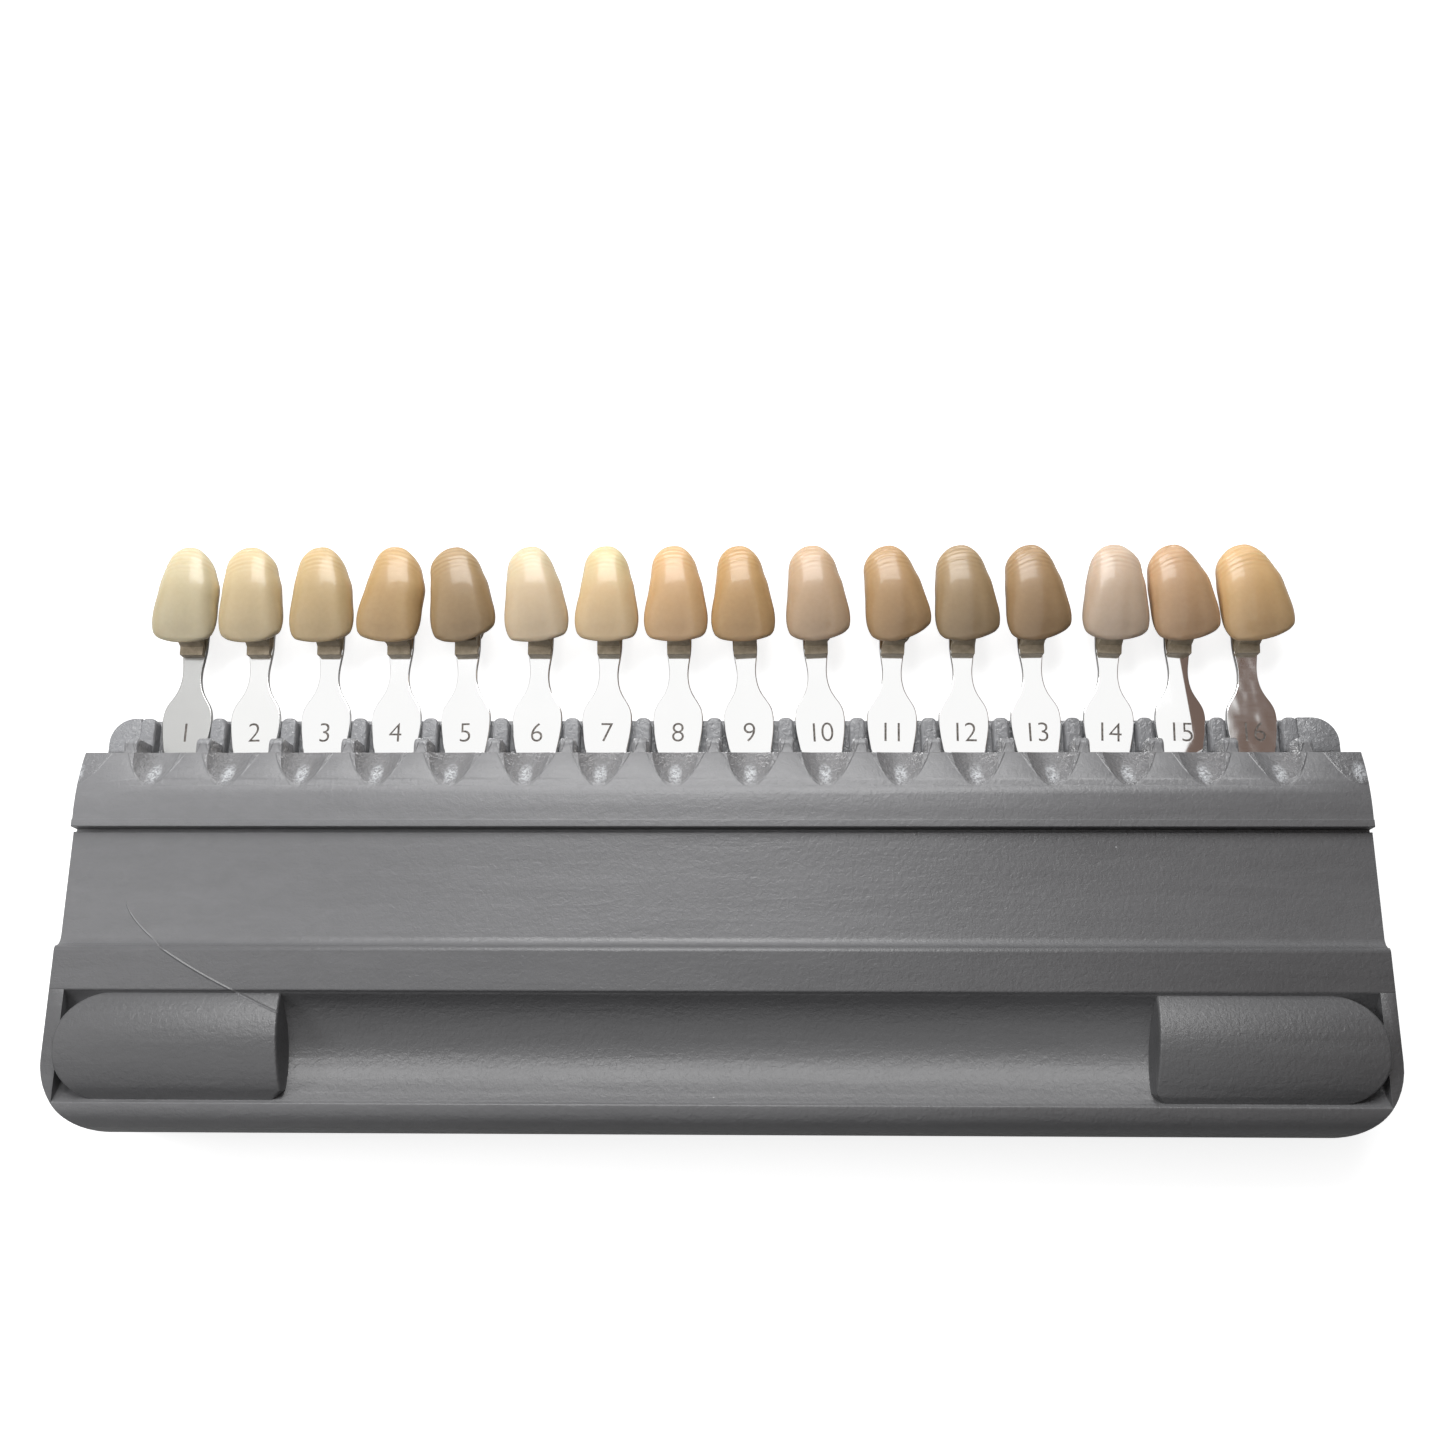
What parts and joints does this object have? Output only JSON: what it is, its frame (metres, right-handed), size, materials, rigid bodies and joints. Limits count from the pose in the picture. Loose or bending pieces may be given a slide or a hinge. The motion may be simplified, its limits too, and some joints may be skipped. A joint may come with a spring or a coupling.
{
  "type": "dental shade guide",
  "caption": "Grey moulded holder with a scooped lip that carries a row of pull-out metal tabs, each with a tooth of its own shade for colour matching.",
  "frame": {"origin": "middle of the flat back, halfway along and halfway up the holder", "axes": "+X along the holder, +Y up the tabs, +Z out of the face"},
  "size_m": [0.1874, 0.0877, 0.0172],
  "materials": {
    "holder_plastic": "satin injection-moulded grey plastic",
    "tab_metal": "polished stainless steel",
    "backing": "taupe acrylic",
    "shade_01": "glazed tooth shade",
    "shade_02": "glazed tooth shade",
    "shade_03": "glazed tooth shade",
    "shade_04": "glazed tooth shade",
    "shade_05": "glazed tooth shade",
    "shade_06": "glazed tooth shade",
    "shade_07": "glazed tooth shade",
    "shade_08": "glazed tooth shade",
    "shade_09": "glazed tooth shade",
    "shade_10": "glazed tooth shade",
    "shade_11": "glazed tooth shade",
    "shade_12": "glazed tooth shade",
    "shade_13": "glazed tooth shade",
    "shade_14": "glazed tooth shade",
    "shade_15": "glazed tooth shade",
    "shade_16": "glazed tooth shade"
  },
  "bodies": {
    "holder": {"front_shell": "holder_plastic", "rear_cover": "holder_plastic"},
    "tab_01": {"tab_01_handle": "tab_metal", "tab_01_backing": "backing", "tab_01_tooth": "shade_01"},
    "tab_02": {"tab_02_handle": "tab_metal", "tab_02_backing": "backing", "tab_02_tooth": "shade_02"},
    "tab_03": {"tab_03_handle": "tab_metal", "tab_03_backing": "backing", "tab_03_tooth": "shade_03"},
    "tab_04": {"tab_04_handle": "tab_metal", "tab_04_backing": "backing", "tab_04_tooth": "shade_04"},
    "tab_05": {"tab_05_handle": "tab_metal", "tab_05_backing": "backing", "tab_05_tooth": "shade_05"},
    "tab_06": {"tab_06_handle": "tab_metal", "tab_06_backing": "backing", "tab_06_tooth": "shade_06"},
    "tab_07": {"tab_07_handle": "tab_metal", "tab_07_backing": "backing", "tab_07_tooth": "shade_07"},
    "tab_08": {"tab_08_handle": "tab_metal", "tab_08_backing": "backing", "tab_08_tooth": "shade_08"},
    "tab_09": {"tab_09_handle": "tab_metal", "tab_09_backing": "backing", "tab_09_tooth": "shade_09"},
    "tab_10": {"tab_10_handle": "tab_metal", "tab_10_backing": "backing", "tab_10_tooth": "shade_10"},
    "tab_11": {"tab_11_handle": "tab_metal", "tab_11_backing": "backing", "tab_11_tooth": "shade_11"},
    "tab_12": {"tab_12_handle": "tab_metal", "tab_12_backing": "backing", "tab_12_tooth": "shade_12"},
    "tab_13": {"tab_13_handle": "tab_metal", "tab_13_backing": "backing", "tab_13_tooth": "shade_13"},
    "tab_14": {"tab_14_handle": "tab_metal", "tab_14_backing": "backing", "tab_14_tooth": "shade_14"},
    "tab_15": {"tab_15_handle": "tab_metal", "tab_15_backing": "backing", "tab_15_tooth": "shade_15"},
    "tab_16": {"tab_16_handle": "tab_metal", "tab_16_backing": "backing", "tab_16_tooth": "shade_16"}
  },
  "joints": [
    {"name": "tab_01_pull", "type": "slide", "parent": "holder", "child": "tab_01", "axis": [0, 1, 0], "range_m": [0, 0.018]},
    {"name": "tab_02_pull", "type": "slide", "parent": "holder", "child": "tab_02", "axis": [0, 1, 0], "range_m": [0, 0.018]},
    {"name": "tab_03_pull", "type": "slide", "parent": "holder", "child": "tab_03", "axis": [0, 1, 0], "range_m": [0, 0.018]},
    {"name": "tab_04_pull", "type": "slide", "parent": "holder", "child": "tab_04", "axis": [0, 1, 0], "range_m": [0, 0.018]},
    {"name": "tab_05_pull", "type": "slide", "parent": "holder", "child": "tab_05", "axis": [0, 1, 0], "range_m": [0, 0.018]},
    {"name": "tab_06_pull", "type": "slide", "parent": "holder", "child": "tab_06", "axis": [0, 1, 0], "range_m": [0, 0.018]},
    {"name": "tab_07_pull", "type": "slide", "parent": "holder", "child": "tab_07", "axis": [0, 1, 0], "range_m": [0, 0.018]},
    {"name": "tab_08_pull", "type": "slide", "parent": "holder", "child": "tab_08", "axis": [0, 1, 0], "range_m": [0, 0.018]},
    {"name": "tab_09_pull", "type": "slide", "parent": "holder", "child": "tab_09", "axis": [0, 1, 0], "range_m": [0, 0.018]},
    {"name": "tab_10_pull", "type": "slide", "parent": "holder", "child": "tab_10", "axis": [0, 1, 0], "range_m": [0, 0.018]},
    {"name": "tab_11_pull", "type": "slide", "parent": "holder", "child": "tab_11", "axis": [0, 1, 0], "range_m": [0, 0.018]},
    {"name": "tab_12_pull", "type": "slide", "parent": "holder", "child": "tab_12", "axis": [0, 1, 0], "range_m": [0, 0.018]},
    {"name": "tab_13_pull", "type": "slide", "parent": "holder", "child": "tab_13", "axis": [0, 1, 0], "range_m": [0, 0.018]},
    {"name": "tab_14_pull", "type": "slide", "parent": "holder", "child": "tab_14", "axis": [0, 1, 0], "range_m": [0, 0.018]},
    {"name": "tab_15_pull", "type": "slide", "parent": "holder", "child": "tab_15", "axis": [0, 1, 0], "range_m": [0, 0.018]},
    {"name": "tab_16_pull", "type": "slide", "parent": "holder", "child": "tab_16", "axis": [0, 1, 0], "range_m": [0, 0.018]}
  ]
}
